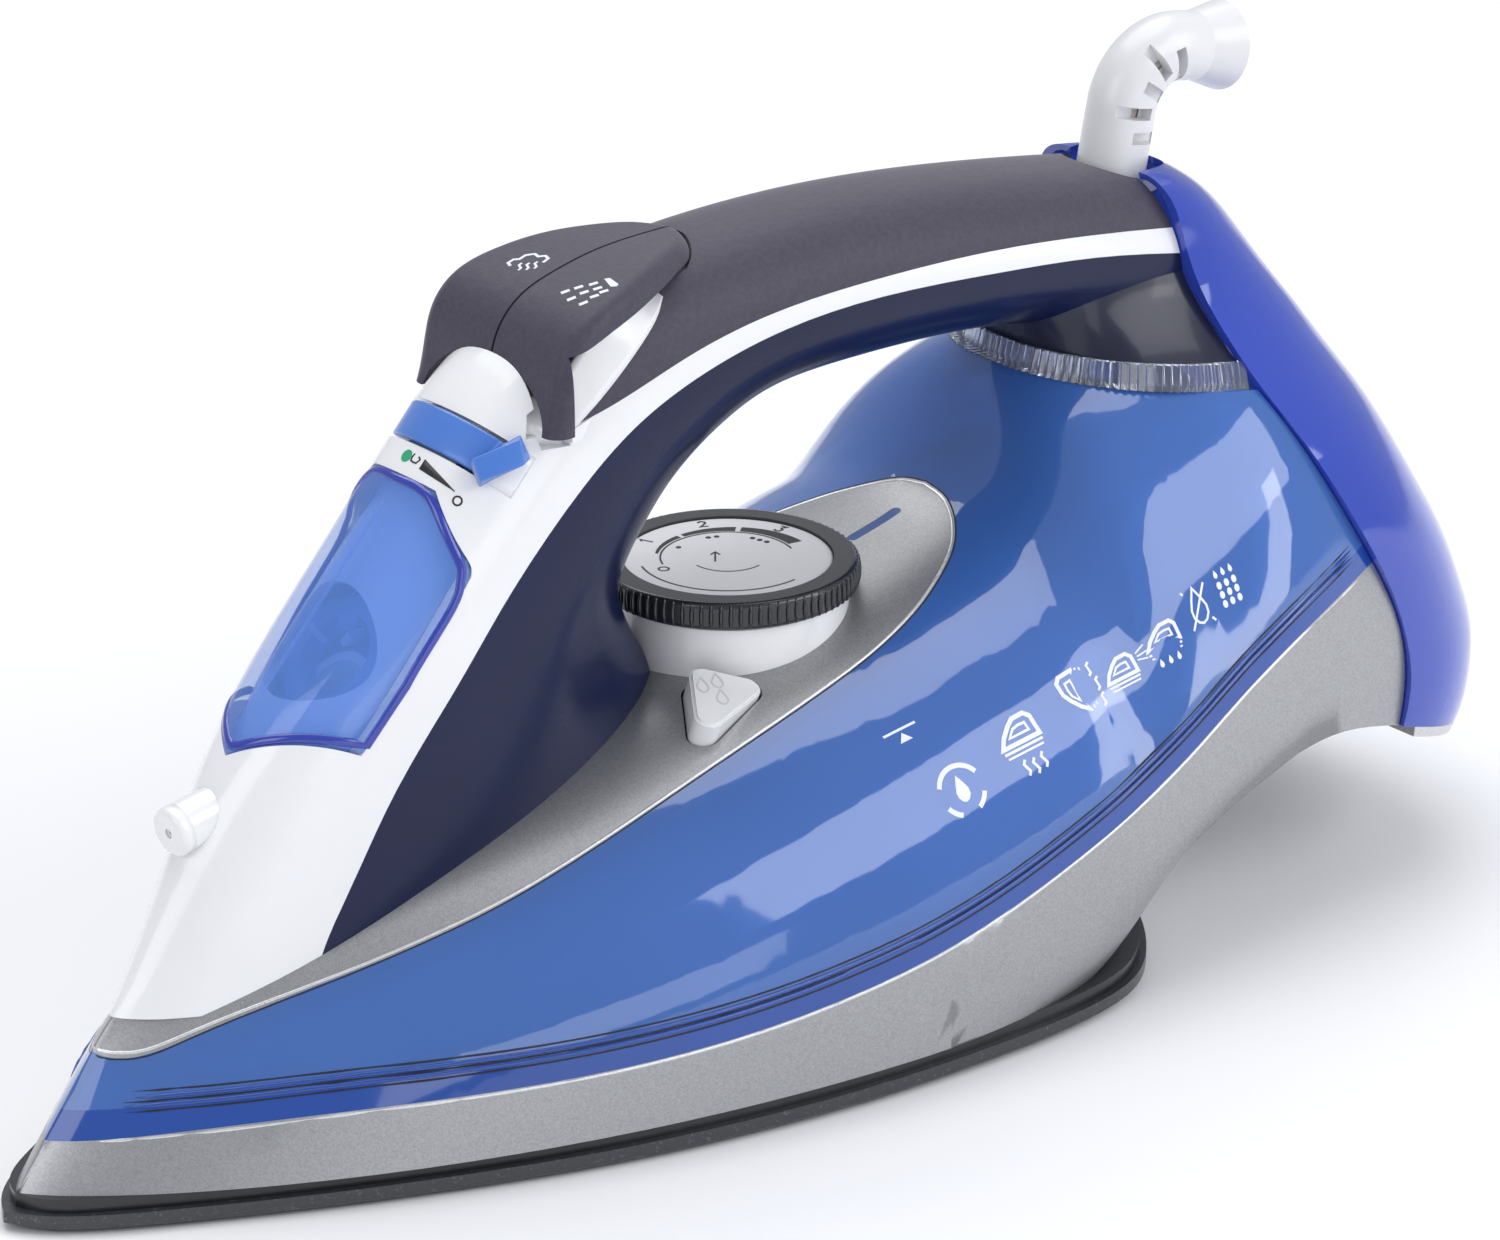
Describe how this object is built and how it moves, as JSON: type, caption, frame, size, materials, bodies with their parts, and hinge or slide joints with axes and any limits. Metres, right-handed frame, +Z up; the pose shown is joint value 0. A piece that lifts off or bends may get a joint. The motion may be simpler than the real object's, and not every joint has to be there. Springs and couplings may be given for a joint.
{
  "type": "clothes iron",
  "caption": "Corded steam iron with pointed soleplate, translucent tank, arched handle with twin triggers, temperature dial, steam slider, fill lid and swivel cord guard.",
  "frame": {"origin": "bottom centre of the bounding box, on the pressing face of the soleplate", "axes": "+X from the nose to the heel, +Z up when the iron rests flat on its soleplate, -Y the user's left side with the nose pointing away"},
  "size_m": [0.3101, 0.116, 0.1549],
  "materials": {
    "sole_coating": "satin",
    "cast_aluminium": "cast",
    "element_steel": "satin",
    "plate_steel": "satin",
    "heat_band": "matte",
    "silver_skirt": "metallic satin",
    "screw_steel": "satin",
    "tank_blue": "translucent gloss",
    "rim_blue": "translucent gloss",
    "silver_deck": "metallic satin",
    "white_gloss": "gloss",
    "navy_gloss": "gloss",
    "grip_grey": "matte soft touch",
    "block_navy": "gloss",
    "clear_ring": "clear faceted",
    "cover_blue": "translucent gloss",
    "foot_silver": "gloss",
    "lid_blue": "clear tinted",
    "bed_white": "gloss",
    "filler_white": "gloss",
    "funnel_white": "gloss",
    "nozzle_white": "gloss",
    "silicone": "matte",
    "slider_blue": "satin",
    "button_grey": "matte",
    "nylon": "matte",
    "pump_white": "matte",
    "dial_white": "gloss",
    "dial_black": "satin",
    "shaft_steel": "satin",
    "lens_blue": "clear tinted",
    "clean_white": "satin",
    "brass_seat": "satin",
    "ceramic_part": "matte",
    "wire_cover": "matte",
    "guard_white": "gloss",
    "braid": "woven"
  },
  "bodies": {
    "housing": {"soleplate": "sole_coating", "sole_casting": "cast_aluminium", "heating_element": "element_steel", "steam_chamber_cover": "plate_steel", "sole_band": "heat_band", "lower_housing": "silver_skirt", "housing_screws": "screw_steel", "water_tank": "tank_blue", "tank_rim": "rim_blue", "deck_panel": "silver_deck", "front_cover": "white_gloss", "handle_lower": "navy_gloss", "handle_grip": "grip_grey", "handle_block": "block_navy", "light_ring": "clear_ring", "rear_cover": "cover_blue", "heel_foot": "foot_silver", "fill_bed": "bed_white", "filler_ring": "filler_white", "fill_funnel": "funnel_white", "spray_nozzle": "nozzle_white", "spray_tube": "silicone", "spray_pump": "pump_white", "steam_pump": "pump_white", "pump_bracket": "pump_white", "dial_base": "dial_white", "pilot_lens": "lens_blue", "valve_seat": "brass_seat", "thermostat": "ceramic_part", "thermal_fuse": "ceramic_part", "terminal_block": "nylon", "lead_wires": "wire_cover", "guard_socket": "nylon"},
    "dial": {"dial_grip_ring": "dial_black", "dial_face": "dial_white", "dial_shaft": "shaft_steel"},
    "spray_trigger": {"spray_button": "button_grey", "spray_plunger": "nylon"},
    "steam_trigger": {"steam_button": "button_grey", "steam_plunger": "nylon"},
    "slider": {"steam_slider": "slider_blue"},
    "valve": {"valve_rod": "shaft_steel"},
    "lid": {"fill_lid": "lid_blue"},
    "clean": {"self_clean_button": "clean_white", "self_clean_plunger": "nylon"},
    "guard": {"cord_guard": "guard_white", "cord_lead": "braid"}
  },
  "joints": [
    {"name": "dial_turn", "type": "hinge", "parent": "housing", "child": "dial", "pos_m": [-0.0012, 0, 0.0734], "axis": [0, 0, -1], "range_deg": [0, 290]},
    {"name": "spray_press", "type": "hinge", "parent": "housing", "child": "spray_trigger", "pos_m": [-0.014, 0, 0.138], "axis": [0, -1, 0], "range_deg": [0, 2.8], "stiffness_Nm_per_rad": 4, "springref_deg": -1.15},
    {"name": "steam_press", "type": "hinge", "parent": "housing", "child": "steam_trigger", "pos_m": [-0.014, 0, 0.138], "axis": [0, -1, 0], "range_deg": [0, 2.8], "stiffness_Nm_per_rad": 4, "springref_deg": -1.15},
    {"name": "steam_slide", "type": "hinge", "parent": "housing", "child": "slider", "pos_m": [-0.0525, 0, 0.1064], "axis": [-0.6801, 0, -0.7331], "range_deg": [0, 48]},
    {"name": "valve_lift", "type": "slide", "parent": "housing", "child": "valve", "axis": [0, 0, 1], "range_m": [0, 0.0021]},
    {"name": "lid_open", "type": "hinge", "parent": "housing", "child": "lid", "pos_m": [-0.07226, 0, 0.11171], "axis": [0, 1, 0], "range_deg": [0, 100]},
    {"name": "clean_press", "type": "slide", "parent": "housing", "child": "clean", "axis": [0, 0.36, -0.933], "range_m": [0, 0.0025], "stiffness_N_per_m": 300, "springref_m": -0.001},
    {"name": "guard_swivel", "type": "hinge", "parent": "housing", "child": "guard", "pos_m": [0.086, 0, 0.126], "axis": [0.2, 0, 0.9798], "range_deg": [-170, 170]}
  ],
  "couplings": [
    {"joint": "valve_lift", "follows": "steam_slide", "m_per_rad": 0.002387}
  ]
}
